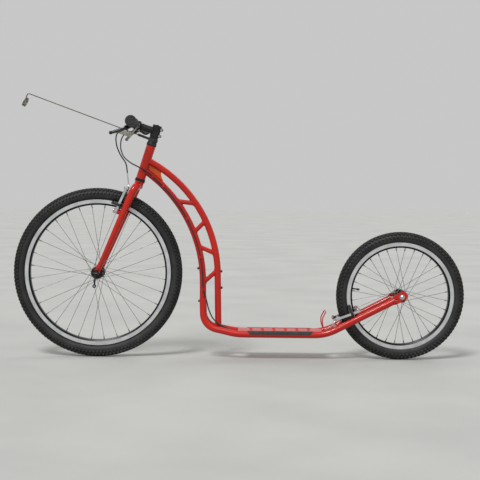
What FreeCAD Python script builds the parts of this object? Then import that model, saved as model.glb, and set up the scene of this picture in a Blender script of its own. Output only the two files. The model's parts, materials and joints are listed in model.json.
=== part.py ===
"""Big-wheel kick scooter with a line guide, as an assembly of separate pieces.

Millimetres. +Z is up, the scooter rolls towards -X, and its left side is -Y.
The origin is on the ground, midway between the two tyres' outer edges.
"""
import FreeCAD, Part
import math
import os

Vec = FreeCAD.Vector

# ---------------------------------------------------------------- overall sizes
wheelbase = 1182.0
front_tyre_r = 330.0
rear_tyre_r = 250.0
tyre_width = 51.0
bar_width = 600.0

# ---------------------------------------------------------------- steering geometry
head_angle = 72.4
fork_rake = 45.2
crown_gap = 55.7
lower_cup_height = 14.0
head_tube_length = 134.0
head_tube_r = 18.0
head_tube_bore_r = 16.2
blade_angle = 66.4
blade_top_r = 15.0
blade_end_r = 8.0
blade_shoulder_r = 30.0

# ---------------------------------------------------------------- frame tubes
tube_r = 12.7
tube_wall = 1.6
brace_r = 8.75
down_joint = 37.0
upper_joint = 77.5
down_knee = (410.5, 300.0)
upper_knee = (468.0, 330.0)
down_lean = 0.7
upper_lean = 1.2
down_foot_z = 165.0
clip_heights = (706.0, 668.2, 544.5, 395.3, 268.0)
brace_heights = ((611.9, 602.0), (489.0, 536.0), (437.1, 407.0), (292.0, 344.0))
gusset_thickness = 4.0
gusset_rear_x = 250.0
gusset_scoop_r = 42.0

# ---------------------------------------------------------------- deck
deck_rail_y = 54.0
deck_rail_z = 99.0
rail_top_z = 236.0
rail_gap = 0.3
rail_heel = (415.0, 126.6)
rail_heel_y = 35.0
rail_heel_bend_r = 63.0
deck_front_bend_x = 545.0
deck_rear_bend_gap = 292.5
deck_front_bend_r = 200.0
deck_rear_bend_r = 180.0
deck_plate_front_x = 550.0
deck_plate_rear_gap = 305.0
deck_plate_thickness = 2.5
deck_plate_drop = -0.3
deck_flange_height = 9.0
deck_hole_pitch = 45.0
deck_hole_r = 6.0
deck_hole_row_y = 21.0
strip_front_x = 584.0
strip_rear_gap = 340.0
strip_slant = 13.0
strip_thickness = 1.1
cross_tube_r = 9.5
front_cross_x = 472.5
rear_cross_gap = 250.0
guard_r = 2.2

# ---------------------------------------------------------------- wheels
rim_half_width = 13.0
rim_track = 14.0
front_rim_r = 285.0
front_rim_inner_r = 264.0
rear_rim_r = 209.0
rear_rim_inner_r = 188.0
front_old = 100.0
rear_old = 110.0
front_flange_y = 31.0
rear_flange_y = 33.0
flange_r = 24.0
flange_thickness = 3.0
hub_barrel_r = 14.0
spoke_r = 0.9
spoke_elbow = 3.2
spokes_per_side = 16
spoke_crosses = 3
nipple_r = 2.0
nipple_length = 12.0
front_axle_r = 4.5
rear_axle_r = 5.0
running_gap = 0.05
dropout_thickness = 6.0
rear_rail_y = rear_old / 2 + dropout_thickness / 2
rail_end_gap = 30.0
cam_height = 12.0
cam_r = 13.0
cam_gap = 5.8

# ---------------------------------------------------------------- brakes
front_stud_y = 41.0
rear_stud_y = 45.0
front_stud_distance = 249.8
rear_stud_distance = 176.5
rear_arm_angle = 21.5
front_boss_height = 24.0
rear_boss_height = 20.0
boss_r = 8.0
stud_r = 4.0
arm_thickness = 9.0
arm_gap = 0.4
arm_length = 104.0
arm_boss_r = 9.5
pad_gap = 2.2
pad_thickness = 11.0
pad_height = 11.0
pad_length = 64.0
pad_post_r = 3.0
cap_height = 4.0
noodle_r = 2.6
housing_r = 2.5
clearance = 0.4
noodle_end_rise = 2.8
noodle_end_inset = 5.8

# ---------------------------------------------------------------- bar, stem and levers
steerer_r = 14.3
cone_height = 18.0
guide_clamp_height = 11.0
spacer_height = 9.0
spacer_r = 17.0
stem_length = 74.0
stem_height = 41.0
stem_clamp_r = 18.0
stem_barrel_r = 14.0
pinch_offset = 20.0
bar_clamp_width = 42.0
bar_centre_r = 12.7
bar_r = 11.1
bar_sweep = 4.0
bar_bend_y = 60.0
grip_length = 128.0
grip_r = 17.0
grip_flange_r = 21.5
lever_drop_angle = 29.0
lever_to_grip = 20.0
lever_clamp_width = 14.0
lever_clamp_r = 16.0
lever_pivot_reach = 32.0
lever_tip_reach = 86.0
lever_tip_out = 112.0
lever_half_thickness = 4.0
lever_pin_r = 2.5
barrel_reach = 30.0
barrel_length = 32.0

# ---------------------------------------------------------------- line guide
guide_angle = 20.0
guide_wire_r = 1.9
guide_sleeve_r = 5.0
guide_sleeve_start = 22.0
guide_sleeve_length = 40.0
guide_reach = 518.0
guide_drop = 17.0
guide_eye_r = 17.0
guide_eye_pitch = 4.4
guide_eye_turns = 2.5

# ---------------------------------------------------------------- bell
bell_y = -46.0
bell_r = 8.6
bell_front = (85.6, 878.5)
bell_rear = (129.5, 864.0)
bell_pivot_rise = bell_r + 5.5

# ---------------------------------------------------------------- derived places
front_axle = Vec(-(wheelbase + rear_tyre_r - front_tyre_r) / 2, 0, front_tyre_r)
rear_axle = Vec(front_axle.x + wheelbase, 0, rear_tyre_r)
lateral = Vec(0, 1, 0)
up = Vec(0, 0, 1)
rail_top_y = 2 * tube_r + rail_gap
deck_rear_bend_x = wheelbase - deck_rear_bend_gap
deck_plate_x = (deck_plate_front_x, wheelbase - deck_plate_rear_gap)
strip_x = (strip_front_x, wheelbase - strip_rear_gap)
rear_cross_x = wheelbase - rear_cross_gap
lever_clamp_y = bar_width / 2 - grip_length - lever_to_grip
head = math.radians(head_angle)
steer_axis = Vec(math.cos(head), 0, math.sin(head))
steer_front = Vec(-math.sin(head), 0, math.cos(head))
crown_seat = front_axle - steer_front * fork_rake + steer_axis * (front_tyre_r + crown_gap)
head_bottom = crown_seat + steer_axis * lower_cup_height
blade_up = Vec(math.cos(math.radians(blade_angle)), 0, math.sin(math.radians(blade_angle)))
blade_front = Vec(-blade_up.z, 0, blade_up.x)


def at(x, z, y=0.0):
    """A point x behind the front axle, z above the ground and y to the right."""
    return Vec(front_axle.x + x, y, z)


def before_rear(gap, z, y=0.0):
    """A point a gap ahead of the rear axle, z above the ground and y to the right."""
    return Vec(rear_axle.x - gap, y, z)


def steer(height, forward=0.0, y=0.0):
    """A point on the steering axis, height above the head tube's bottom end."""
    return head_bottom + steer_axis * height + steer_front * forward + lateral * y


# ---------------------------------------------------------------- building blocks
def rod(a, b, r):
    """A round bar from a to b."""
    return Part.makeCylinder(r, (b - a).Length, a, b - a)


def ring(a, b, r_out, r_in):
    """A round tube from a to b."""
    return rod(a, b, r_out).cut(rod(a - (b - a) * 0.01, b + (b - a) * 0.01, r_in))


def corner_arc(before, corner, after, r):
    """The arc of radius r that rounds a corner, as its three points."""
    to_before = (before - corner).normalize()
    to_after = (after - corner).normalize()
    half = to_before.getAngle(to_after) / 2
    middle = (to_before + to_after).normalize()
    start = corner + to_before * (r / math.tan(half))
    end = corner + to_after * (r / math.tan(half))
    top = corner + middle * (r / math.sin(half) - r)
    return start, top, end


def widest_radius(before, corner, after):
    """The largest radius that a cable takes at a corner of its route."""
    run = min((before - corner).Length, (after - corner).Length)
    turn = math.pi - (before - corner).getAngle(after - corner)
    return 0.45 * run / math.tan(turn / 2)


def route(points, radii=None):
    """Straight runs joined by tangent arcs, as one wire."""
    edges = []
    here = points[0]
    for i in range(1, len(points) - 1):
        if radii is None:
            r = widest_radius(points[i - 1], points[i], points[i + 1])
        else:
            r = radii[i - 1]
        start, top, end = corner_arc(points[i - 1], points[i], points[i + 1], r)
        if (start - here).Length > 0.001:
            edges.append(Part.LineSegment(here, start).toShape())
        edges.append(Part.Arc(start, top, end).toShape())
        here = end
    edges.append(Part.LineSegment(here, points[-1]).toShape())
    return Part.Wire(edges)


def bent_rod(points, r, radii=None):
    """A round bar along a route."""
    wire = route(points, radii)
    circle = Part.Wire(Part.makeCircle(r, points[0], points[1] - points[0]))
    solid = wire.makePipeShell([circle], True, False)
    expected = math.pi * r * r * wire.Length
    if abs(solid.Volume - expected) > 0.02 * expected:
        print("sweep volume is off:", round(solid.Volume), "for", round(expected))
    return solid


def shortened(points, by):
    """The same route with both ends drawn in."""
    first = points[0] + (points[1] - points[0]).normalize() * by
    last = points[-1] + (points[-2] - points[-1]).normalize() * by
    return [first] + points[1:-1] + [last]


def bent_tube(points, r, wall, radii, closed_ends=True):
    """A hollow bent tube, with end caps as thick as its wall if closed_ends."""
    inner = shortened(points, wall if closed_ends else -wall)
    return bent_rod(points, r, radii).cut(bent_rod(inner, r - wall, radii))


def plate(points, y_low, y_high):
    """A flat plate with an outline in the XZ plane, between two values of Y."""
    face = Part.Face(Part.makePolygon([Vec(p.x, y_low, p.z) for p in points + points[:1]]))
    return face.extrude(lateral * (y_high - y_low))


def box(low, high):
    return Part.makeBox(high.x - low.x, high.y - low.y, high.z - low.z, low)


def fused(shapes):
    """All shapes as one clean solid."""
    whole = shapes[0]
    if len(shapes) > 1:
        whole = shapes[0].multiFuse(shapes[1:])
    return whole.removeSplitter()


def mirrored(shape):
    """The same piece on the other side of the centre plane."""
    return shape.mirror(Vec(0, 0, 0), lateral)


def pair(shape):
    """A piece and its mirror image, as one group of two solids."""
    return Part.makeCompound([shape, mirrored(shape)])


def placed(shape, origin, x_dir, y_dir):
    """A shape drawn in its own axes, put at origin with its X and Y along the given directions."""
    x = Vec(x_dir).normalize()
    z = x.cross(y_dir).normalize()
    y = z.cross(x)
    matrix = FreeCAD.Matrix(x.x, y.x, z.x, origin.x, x.y, y.y, z.y, origin.y,
                            x.z, y.z, z.z, origin.z, 0, 0, 0, 1)
    moved = shape.copy()
    moved.Placement = FreeCAD.Placement(matrix)
    return moved


def turned(profile, centre):
    """A ring made by turning a (y, radius) outline about a wheel's axle."""
    corners = [centre + Vec(r, y, 0) for y, r in profile]
    face = Part.Face(Part.makePolygon(corners + corners[:1]))
    return face.revolve(centre, lateral, 360)


# ---------------------------------------------------------------- frame
def arc_tube_points(joint, knee, lean, foot_z):
    """Head end, arc middle, knee and foot of a tube that curves down from the head tube."""
    top = steer(joint)
    bottom = at(knee[0], knee[1])
    tilt = math.radians(lean)
    dx = bottom.x - top.x
    dz = top.z - bottom.z
    r = (dx * dx + dz * dz) / (2 * (dx * math.cos(tilt) - dz * math.sin(tilt)))
    centre = bottom - Vec(r * math.cos(tilt), 0, r * math.sin(tilt))
    middle_angle = (math.atan2(top.z - centre.z, top.x - centre.x) + tilt) / 2
    middle = centre + Vec(r * math.cos(middle_angle), 0, r * math.sin(middle_angle))
    foot = bottom + Vec((bottom.z - foot_z) * math.tan(tilt), 0, foot_z - bottom.z)
    return top, middle, bottom, foot, centre, r


upper_foot_z = deck_rail_z + 15.0
DOWN = arc_tube_points(down_joint, down_knee, down_lean, down_foot_z)
UPPER = arc_tube_points(upper_joint, upper_knee, upper_lean, upper_foot_z)


def centre_at_height(tube, z):
    """The point of a curved main tube's centre line at a height."""
    top, middle, bottom, foot, centre, r = tube
    if z > bottom.z:
        return Vec(centre.x + math.sqrt(r * r - (z - centre.z) ** 2), 0, z)
    share = (bottom.z - z) / (bottom.z - foot.z)
    return bottom + (foot - bottom) * share


def curved_bar(tube, r):
    """The curved main tube as a full round bar."""
    top, middle, bottom, foot, centre, arc_r = tube
    wire = Part.Wire([Part.Arc(top, middle, bottom).toShape(),
                      Part.LineSegment(bottom, foot).toShape()])
    tangent = lateral.cross(top - centre)
    circle = Part.Wire(Part.makeCircle(r, top, tangent))
    return wire.makePipeShell([circle], True, False)


def head_tube():
    return ring(steer(0), steer(head_tube_length), head_tube_r, head_tube_bore_r)


def head_bar():
    return rod(steer(0), steer(head_tube_length), head_tube_r)


def boss_places():
    """Each bottle boss as its tube, height and the way it points."""
    return ((UPPER, 338.7, 1), (UPPER, 274.7, 1), (DOWN, 349.9, -1), (DOWN, 221.9, -1))


def boss_hole(tube, z, way):
    centre = centre_at_height(tube, z)
    return rod(centre, centre + Vec(way * 30.0, 0, 0), 2.5)


def main_tube(tube):
    """One of the two curved tubes, mitred to the head tube and drilled for its bosses."""
    solid = curved_bar(tube, tube_r).cut(curved_bar(tube, tube_r - tube_wall))
    solid = solid.cut(head_bar())
    for owner, z, way in boss_places():
        if owner is tube:
            solid = solid.cut(boss_hole(tube, z, way))
    return solid


def down_tube():
    foot = DOWN[3]
    cap = rod(foot, foot + Vec(0, 0, tube_wall), tube_r - tube_wall)
    solid = main_tube(DOWN).fuse(cap)
    return max(solid.removeSplitter().Solids, key=lambda s: s.Volume)


def upper_tube():
    solid = main_tube(UPPER).cut(front_cross_bar())
    return max(solid.Solids, key=lambda s: s.Volume)


def truss_braces():
    braces = []
    for down_z, upper_z in brace_heights:
        a = centre_at_height(DOWN, down_z)
        b = centre_at_height(UPPER, upper_z)
        brace = ring(a, b, brace_r, brace_r - tube_wall)
        brace = brace.cut(curved_bar(DOWN, tube_r)).cut(curved_bar(UPPER, tube_r))
        braces.append(max(brace.Solids, key=lambda s: s.Volume))
    return Part.makeCompound(braces)


def head_gusset():
    """The flat web between the two main tubes behind the head tube."""
    half = gusset_thickness / 2
    upper_end = at(gusset_rear_x, steer(upper_joint).z)
    lower_end = at(gusset_rear_x + 3, steer(down_joint).z - 70)
    web = plate([steer(upper_joint), upper_end, lower_end, steer(down_joint)], -half, half)
    scoop_centre = at(gusset_rear_x + gusset_scoop_r - 6, (upper_end.z + lower_end.z) / 2)
    web = web.cut(rod(scoop_centre - lateral * 9, scoop_centre + lateral * 9, gusset_scoop_r))
    web = web.cut(head_bar()).cut(curved_bar(DOWN, tube_r)).cut(curved_bar(UPPER, tube_r))
    return max(web.Solids, key=lambda s: s.Volume)


def rail_points():
    """The right deck rail's route, from beside the down tube back to the rear dropout."""
    top = centre_at_height(DOWN, rail_top_z)
    end = rear_axle + stay_direction() * -rail_end_gap
    return [Vec(top.x, rail_top_y, rail_top_z),
            at(rail_heel[0], rail_heel[1], rail_heel_y),
            at(deck_front_bend_x, deck_rail_z, deck_rail_y),
            at(deck_rear_bend_x, deck_rail_z, deck_rail_y),
            Vec(end.x, rear_rail_y, end.z)]


def stay_direction():
    """Unit vector up the stays, in the centre plane."""
    start = at(deck_rear_bend_x, deck_rail_z)
    return (rear_axle - start).normalize()


def stay_point(distance):
    """A point of the right stay's centre line, a distance before the rear axle."""
    start, end = rail_points()[3:5]
    centre = rear_axle - stay_direction() * distance
    share = (centre.x - start.x) / (end.x - start.x)
    return Vec(centre.x, start.y + (end.y - start.y) * share, centre.z)


def rail_bar():
    radii = [rail_heel_bend_r, deck_front_bend_r, deck_rear_bend_r]
    return bent_rod(rail_points(), tube_r, radii)


def deck_rail():
    radii = [rail_heel_bend_r, deck_front_bend_r, deck_rear_bend_r]
    solid = bent_tube(rail_points(), tube_r, tube_wall, radii)
    return solid.cut(dropout_blank())


def dropout_blank():
    """The right rear dropout's plate before it is drilled."""
    low = rear_old / 2
    side = stay_direction()
    normal = Vec(-side.z, 0, side.x)
    half_width = tube_r + 3.5
    corners = [rear_axle + side * along + normal * across for along, across in (
        (-58, -8), (-30, -half_width), (4, -half_width), (20, -11), (24, 0),
        (20, 14), (6, half_width + 4), (-24, half_width + 2), (-58, 8))]
    outline = plate(corners, low, low + dropout_thickness)
    return outline


def rear_dropout():
    hole_way = stay_direction() * -24
    across = lateral * rear_old
    blank = dropout_blank()
    blank = blank.cut(rod(rear_axle, rear_axle + across, rear_axle_r + 0.2))
    window = rear_axle + hole_way
    return blank.cut(rod(window, window + across, 4.0))


def cross_bar(x, z):
    """A bar between the two rails at x, long enough to be mitred to both."""
    reach = deck_rail_y + tube_r
    return at(x, z, -reach), at(x, z, reach)


def rail_z(x):
    """Height of the rail's centre line on the slope ahead of the deck."""
    heel_x, heel_z = rail_heel
    share = (x - heel_x) / (deck_front_bend_x - heel_x)
    return heel_z + (deck_rail_z - heel_z) * share


def stay_z(x):
    side = stay_direction()
    return deck_rail_z + (x - deck_rear_bend_x) * side.z / side.x


def front_cross_bar():
    a, b = cross_bar(front_cross_x, rail_z(front_cross_x))
    return rod(a, b, cross_tube_r)


def cross_tube(x, z):
    a, b = cross_bar(x, z)
    tube = ring(a, b, cross_tube_r, cross_tube_r - tube_wall)
    tube = tube.cut(rail_bar()).cut(mirrored(rail_bar()))
    return min(tube.Solids, key=lambda s: abs(s.CenterOfMass.y))


def cross_tubes():
    return Part.makeCompound([cross_tube(front_cross_x, rail_z(front_cross_x)),
                              cross_tube(rear_cross_x, stay_z(rear_cross_x) + 2)])


def deck_plate():
    """Folded sheet between the rails, pierced with rows of grip holes."""
    top = deck_rail_z + tube_r - deck_plate_drop
    x_low, x_high = deck_plate_x
    half = deck_rail_y - 5.0
    fold = deck_rail_y - tube_r - 0.8
    sheet = box(at(x_low, top - deck_plate_thickness, -half), at(x_high, top, half))
    for side in (-1, 1):
        inner = side * (fold - deck_plate_thickness)
        outer = side * fold
        sheet = sheet.fuse(box(at(x_low, top - deck_flange_height, min(inner, outer)),
                               at(x_high, top, max(inner, outer))))
    count = int((x_high - x_low - deck_hole_pitch / 2) / deck_hole_pitch)
    first = (x_low + x_high - (count - 1) * deck_hole_pitch) / 2
    for i in range(count):
        for row in (-deck_hole_row_y, deck_hole_row_y):
            foot = at(first + i * deck_hole_pitch, top - 2 * deck_flange_height, row)
            sheet = sheet.cut(rod(foot, foot + up * 3 * deck_flange_height, deck_hole_r))
    sheet = sheet.cut(rail_bar()).cut(mirrored(rail_bar()))
    return max(sheet.Solids, key=lambda s: s.Volume)


def grip_strip():
    """Self-adhesive tape over the top of the right rail, with slanted ends."""
    x_low, x_high = strip_x
    inner = tube_r + 0.1
    shell = ring(at(x_low, deck_rail_z, deck_rail_y), at(x_high, deck_rail_z, deck_rail_y),
                 inner + strip_thickness, inner)
    top = deck_rail_z + tube_r + 3
    outline = [at(x_low, top), at(x_high, top), at(x_high - strip_slant, deck_rail_z + 1),
               at(x_low + strip_slant, deck_rail_z + 1)]
    shell = shell.common(plate(outline, 0, 2 * deck_rail_y))
    inner_edge = deck_rail_y - 5.0 - 0.3
    keep = box(at(x_low - 1, deck_rail_z, inner_edge + 1), at(x_high + 1, top, 2 * deck_rail_y))
    return shell.common(keep)


def cable_clips():
    """Small open loops on the down tube's left side that hold the rear brake's housing."""
    clips = []
    room = [bent_rod(rear_cable_route(), housing_r + 0.1), bent_rod(rear_loop_route(), housing_r + 0.1)]
    for z in clip_heights:
        centre = centre_at_height(DOWN, z) - lateral * (tube_r + clearance + housing_r)
        along = (centre_at_height(DOWN, z - 5) - centre_at_height(DOWN, z + 5)).normalize()
        a = centre - along * 4.5
        b = centre + along * 4.5
        loop = rod(a, b, housing_r + 2.0).fuse(rod(a, b, 2.4).translated(lateral * 2.2))
        loop = loop.cut(room[0]).cut(room[1]).cut(curved_bar(DOWN, tube_r))
        clips.append(max(loop.Solids, key=lambda s: s.Volume))
    return Part.makeCompound(clips)


def frame_bosses():
    """Threaded bosses for a bottle cage, two on each curved tube."""
    bosses = []
    for tube, z, way in boss_places():
        centre = centre_at_height(tube, z)
        outer = Vec(way * (tube_r + 3.5), 0, 0)
        boss = rod(centre, centre + outer, 5.0)
        boss = boss.cut(curved_bar(tube, tube_r)).cut(boss_hole(tube, z, way))
        bosses.append(max(boss.Solids, key=lambda s: s.Volume))
    return Part.makeCompound(bosses)


def heel_guard():
    """A bent rod hoop behind the deck that keeps heels off the rear brake."""
    half = [before_rear(294, 108.5, 48.5), before_rear(304.5, 138, 44), before_rear(305.5, 160, 40),
            before_rear(292, 187, 33)]
    other = [Vec(p.x, -p.y, p.z) for p in reversed(half)]
    hoop = bent_rod(half + other, guard_r, [40.0, 40.0, 10.0, 10.0, 40.0, 40.0])
    return hoop.cut(rail_bar()).cut(mirrored(rail_bar()))


def headset_cups():
    """Bearing cups pressed on both ends of the head tube, with their bearings as own solids."""
    skirt = 8.0
    lower = fused([ring(steer(-lower_cup_height + 3), steer(0), 20.0, 18.2),
                   ring(steer(-5), steer(skirt), head_tube_bore_r, steerer_r + 0.6)])
    lower = lower.fuse(ring(steer(-5), steer(-3), 19.0, steerer_r + 0.6)).removeSplitter()
    upper = fused([ring(steer(head_tube_length), steer(head_tube_length + 6), 19.5, 18.0),
                   ring(steer(head_tube_length - skirt), steer(head_tube_length + 2),
                        head_tube_bore_r, steerer_r + 0.6),
                   ring(steer(head_tube_length), steer(head_tube_length + 2), 19.0, steerer_r + 0.6)])
    lower_bearing = ring(steer(-11), steer(-5.1), 18.1, steerer_r + running_gap)
    upper_bearing = ring(steer(head_tube_length + 2.1), steer(head_tube_length + 6), 17.9,
                         steerer_r + running_gap)
    return Part.makeCompound([lower, upper, lower_bearing, upper_bearing])


def rear_axle_set():
    """Rear axle with its cone locknuts inside the dropouts, and washers and nuts outside."""
    inner = rear_old / 2
    outer = inner + dropout_thickness
    nut_end = outer + 14
    axle = rod(rear_axle - lateral * (nut_end - 2), rear_axle + lateral * (nut_end - 2), rear_axle_r)
    pieces = [axle]
    for side in (-1, 1):
        way = lateral * side
        lock = ring(rear_axle + way * (inner - 6), rear_axle + way * inner, 9.0, rear_axle_r)
        washer = ring(rear_axle + way * outer, rear_axle + way * (outer + 1.8), 10.0, rear_axle_r)
        nut = hex_bar(rear_axle + way * (outer + 1.8), way, 9.0, 9.5)
        dome = Part.makeCone(8.5, 4.0, 2.7, rear_axle + way * (outer + 11.3), way)
        nut = nut.fuse(dome).cut(rod(rear_axle, rear_axle + way * (nut_end - 2), rear_axle_r))
        pieces += [lock, washer, nut]
    return Part.makeCompound(pieces)


def hex_bar(start, way, r, length):
    """A hexagon bar along Y, r from its middle to its corners."""
    corners = [start + Vec(r * math.cos(math.radians(60 * i)), 0, r * math.sin(math.radians(60 * i)))
               for i in range(6)]
    face = Part.Face(Part.makePolygon(corners + corners[:1]))
    return face.extrude(way * length)


# ---------------------------------------------------------------- brakes
rear_arm_up = Vec(-math.cos(math.radians(rear_arm_angle)), 0, -math.sin(math.radians(rear_arm_angle)))
rear_stud_way = Vec(rear_arm_up.z, 0, -rear_arm_up.x)
front_stud_base = front_axle + blade_up * front_stud_distance + lateral * front_stud_y
rear_stud_base = rear_axle - stay_direction() * rear_stud_distance + lateral * rear_stud_y


def brake_stud(base, way, boss_height, tube):
    """One right-hand brake boss with its stud and the pivot bolt's cap."""
    arm_top = boss_height + arm_gap + arm_thickness
    boss = rod(base, base + way * boss_height, boss_r)
    pin = rod(base, base + way * (arm_top + arm_gap + 1), stud_r)
    cap = rod(base + way * (arm_top + arm_gap), base + way * (arm_top + arm_gap + cap_height), arm_boss_r)
    return fused([boss, pin, cap]).cut(tube)


def front_brake_studs():
    return pair(brake_stud(front_stud_base, blade_front, front_boss_height, blade_bar()))


def rear_brake_studs():
    return pair(brake_stud(rear_stud_base, rear_stud_way, rear_boss_height, rail_bar()))


def pad_rise(axle, arm_foot, arm_up, track_r):
    """How far up the arm the pad sits, so that it meets the middle of the rim's brake track."""
    offset = Vec(arm_foot.x - axle.x, 0, arm_foot.z - axle.z)
    b = offset.dot(arm_up)
    c = offset.dot(offset) - track_r * track_r
    return -b + math.sqrt(b * b - c)


def brake_layout(front):
    """Middle of the right arm's pivot, arm direction, stud direction, pad rise and axle."""
    if front:
        foot = front_stud_base + blade_front * (front_boss_height + arm_gap + arm_thickness / 2)
        rise = pad_rise(front_axle, foot, blade_up, front_rim_r - rim_track / 2)
        return foot, blade_up, blade_front, rise, front_axle
    foot = rear_stud_base + rear_stud_way * (rear_boss_height + arm_gap + arm_thickness / 2)
    rise = pad_rise(rear_axle, foot, rear_arm_up, rear_rim_r - rim_track / 2)
    return foot, rear_arm_up, rear_stud_way, rise, rear_axle


def arm_outline():
    """Half-turned outline of a brake arm: x is outward, y is up the arm."""
    points = [Vec(-8.5, 0, 0), Vec(-7.0, 16, 0), Vec(-8.0, 38, 0), Vec(-6.0, 62, 0),
              Vec(-7.0, 86, 0), Vec(-11.0, 96, 0), Vec(-8.5, arm_length, 0), Vec(-1.0, arm_length, 0),
              Vec(3.5, 92, 0), Vec(3.0, 64, 0), Vec(7.0, 40, 0), Vec(8.0, 20, 0), Vec(8.5, 0, 0)]
    return Part.Face(Part.makePolygon(points + points[:1]))


def brake_arm(front, side, holds_noodle):
    """A linear-pull brake arm on one side, with the noodle's cradle or the cable's anchor bolt."""
    foot, arm_up, way, rise, axle = brake_layout(front)
    half = arm_thickness / 2
    body = arm_outline().extrude(Vec(0, 0, arm_thickness)).translated(Vec(0, 0, -half))
    barrel = Part.makeCylinder(arm_boss_r, arm_thickness, Vec(0, 0, -half))
    solid = body.fuse(barrel).removeSplitter()
    solid = solid.cut(Part.makeCylinder(stud_r + running_gap, 30, Vec(0, 0, -15)))
    solid = solid.cut(Part.makeCylinder(pad_post_r, 60, Vec(-30, rise, 0), Vec(1, 0, 0)))
    head_y = arm_length - 7
    if holds_noodle:
        solid = solid.cut(Part.makeCylinder(noodle_r + 0.1, 40, Vec(-25, head_y, 0), Vec(1, 0, 0)))
    else:
        bolt = Part.makeCylinder(4.5, 5, Vec(-4, head_y, half), Vec(0, 0, 1))
        nut = Part.makeCylinder(4.0, 4, Vec(-4, head_y, -half), Vec(0, 0, -1))
        solid = solid.fuse(bolt).fuse(nut)
    # the outline's z must point along the stud on both sides, so one side is a mirror image
    right = placed_arm(solid, foot, arm_up, way)
    return right if side > 0 else mirrored(right)


def placed_arm(shape, foot, arm_up, way):
    """Arm axes to scooter axes: x outward to the right, y up the arm, z along the stud."""
    if Vec(lateral).cross(arm_up).dot(way) > 0:
        return placed(shape, foot, lateral, arm_up)
    flipped = shape.mirror(Vec(0, 0, 0), Vec(0, 0, 1))
    return placed(flipped, foot, lateral, arm_up)


def brake_pad(front, side):
    """A brake shoe: rubber block along the rim, with its threaded post, washers and nut."""
    foot, arm_up, way, rise, axle = brake_layout(front)
    centre = foot + arm_up * rise
    radial = Vec(centre.x - axle.x, 0, centre.z - axle.z).normalize()
    along = Vec(-radial.z, 0, radial.x)
    face_y = rim_half_width + pad_gap
    low = -pad_length / 2
    block = Part.makeBox(pad_length, pad_height, pad_thickness, Vec(low, -pad_height / 2, 0))
    block = block.makeFillet(3.5, [e for e in block.Edges
                                   if abs(e.tangentAt(e.FirstParameter).z) > 0.9])
    middle = Vec(centre.x, 0, centre.z)
    shoe = placed(block, middle + lateral * face_y, along, radial)
    if shoe.BoundBox.YMin < face_y - 0.1:
        shoe = shoe.translated(lateral * pad_thickness)
    back = face_y + pad_thickness
    arm_inner = foot.y - 8.2
    post = rod(middle + lateral * (back - 1), middle + lateral * (foot.y + 17), pad_post_r)
    washer = rod(middle + lateral * back, middle + lateral * (arm_inner - 0.1), 6.5)
    nut = rod(middle + lateral * (foot.y + 8.4), middle + lateral * (foot.y + 13.5), 6.0)
    solid = fused([shoe, post, washer, nut])
    return solid if side > 0 else mirrored(solid)


def noodle_route(front):
    """Centre line of the curved metal pipe that leads the cable into the brake."""
    foot, arm_up, way, rise, axle = brake_layout(front)
    head_point = foot + arm_up * (arm_length - 7)
    if front:
        inner = Vec(head_point.x, foot.y - 18, head_point.z)
        corner = Vec(head_point.x, foot.y + 17, head_point.z)
        return [inner, corner, front_noodle_end()]
    inner = Vec(head_point.x, -(foot.y - 22), head_point.z)
    corner = Vec(head_point.x, -(foot.y + 15.5), head_point.z)
    elbow = Vec(head_point.x - 13, -(foot.y + 13), head_point.z - 24)
    return [inner, corner, elbow, rear_noodle_end()]


def front_noodle_end():
    return at(105.5, 720.0, 62.0)


def rear_noodle_end():
    side = deck_rail_y - tube_r - noodle_end_inset
    return before_rear(295.5, deck_rail_z + tube_r + noodle_end_rise, -side)


def noodle(front):
    return bent_rod(noodle_route(front), noodle_r, [20.0] if front else [10.0, 26.0])


# ---------------------------------------------------------------- cables
def rear_cable_route():
    """The rear housing from its first clip down the down tube and back under the deck."""
    side = tube_r + clearance + housing_r
    along_tube = [centre_at_height(DOWN, z) - lateral * side
                  for z in (706.0, 660.0, 606.0, 546.0, 486.0, 426.0, 366.0, 310.0, 268.0)]
    under_deck = [at(424.5, 232, -15.5), at(433, 192, -13), at(449, 156, -15), at(474, 132.5, -19.5),
                  at(508, 118, -21), at(538, 102, -21), at(575, 95.5, -20), at(630, 94.5, -20.5),
                  at(690, 95, -21.5), at(748, 94.5, -23), before_rear(382, 95, -25),
                  before_rear(340, 93, -28), before_rear(310, 93, -32)]
    noodle_end = rear_noodle_end()
    way = (noodle_end - noodle_route(False)[-2]).normalize()
    return along_tube + under_deck + [noodle_end + way * 13, noodle_end + way * 0.3]


def rear_cable_housing():
    return bent_rod(rear_cable_route(), housing_r)


def barrel_end(side):
    """Where a brake lever's cable housing leaves its barrel adjuster."""
    origin, reach, bar_way, normal = lever_axes(side)
    return origin + reach * barrel_reach + bar_way * -barrel_length


def rear_loop_route():
    """The free stretch's route, from the right lever's barrel round the head tube to the first clip."""
    start = barrel_end(1)
    first_clip = rear_cable_route()[0]
    way = (first_clip - rear_cable_route()[1]).normalize()
    inward = lever_axes(1)[2] * -26
    return [start, start + inward, at(92, 874, 66), at(83, 850, 32), at(84, 815, 6),
            at(98, 781, -14), at(128, 757, -26), at(162, 741, -27), first_clip + way * 14, first_clip]


def rear_cable_loop():
    """The free stretch of the rear housing, which bends as the bar turns."""
    return bent_rod(rear_loop_route(), housing_r)


def front_cable_housing():
    """The front housing, from the left lever across and down to the front brake's noodle."""
    start = barrel_end(-1)
    inward = lever_axes(-1)[2] * -26
    end = front_noodle_end()
    way = (end - noodle_route(True)[-2]).normalize()
    points = [start, start + inward, at(79, 873, -58), at(69, 853, -24), at(69, 824, 6),
              at(80, 790, 36), end + way * 38, end + way * 0.3]
    return bent_rod(points, housing_r)


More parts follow.
